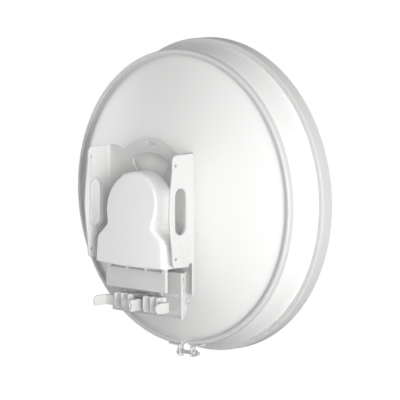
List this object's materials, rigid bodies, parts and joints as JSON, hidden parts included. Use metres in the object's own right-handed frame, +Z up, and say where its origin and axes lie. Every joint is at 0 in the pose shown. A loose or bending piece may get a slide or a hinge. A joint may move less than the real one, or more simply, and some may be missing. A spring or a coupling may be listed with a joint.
{
  "type": "shielded parabolic dish antenna",
  "caption": "Round shielded dish antenna with a domed front cover, a bell-shaped radio housing, carrying handles on its back plate and a tilting pole bracket.",
  "frame": {"origin": "centre of the round pad's rear face, which rests on the pole", "axes": "+Y is the way the dish looks, -Y is towards the pole, +Z is up, +X is to the right seen from behind"},
  "size_m": [0.65, 0.2833, 0.6563],
  "materials": {
    "white_paint": "satin powder coat",
    "white_shroud": "smooth matte",
    "white_plastic": "satin moulded",
    "white_casting": "painted casting",
    "grey_casting": "painted casting",
    "steel": "zinc-plated"
  },
  "bodies": {
    "pole_mount": {"pole_bracket": "white_paint", "pivot_bolt_left": "steel", "pivot_bolt_right": "steel", "pivot_spacer_left": "steel", "pivot_spacer_right": "steel", "pivot_nut_left": "steel", "pivot_nut_right": "steel", "jaw_left": "white_casting", "jaw_right": "white_casting", "toothed_bar": "white_casting", "clamp_arm_left": "white_paint", "clamp_arm_right": "white_paint", "centre_block": "white_paint", "pole_pad": "steel", "jaw_bolt_left": "steel", "jaw_bolt_right": "steel"},
    "antenna": {"reflector": "white_paint", "shroud": "white_shroud", "radome": "white_shroud", "clamp_band": "white_paint", "band_lug_left": "white_paint", "band_lug_right": "white_paint", "band_bolt": "steel", "band_nut": "steel", "hub_ring": "grey_casting", "mount_plate": "white_paint", "side_flange_left": "white_paint", "side_flange_right": "white_paint", "radio_base": "white_plastic", "radio_cover": "white_plastic", "port_panel": "white_plastic", "tilt_ear_left": "white_paint", "tilt_ear_right": "white_paint"}
  },
  "joints": [
    {"name": "elevation_tilt", "type": "hinge", "parent": "pole_mount", "child": "antenna", "pos_m": [0, 0.0665, 0.013], "axis": [1, 0, 0], "range_deg": [-10, 10]}
  ]
}
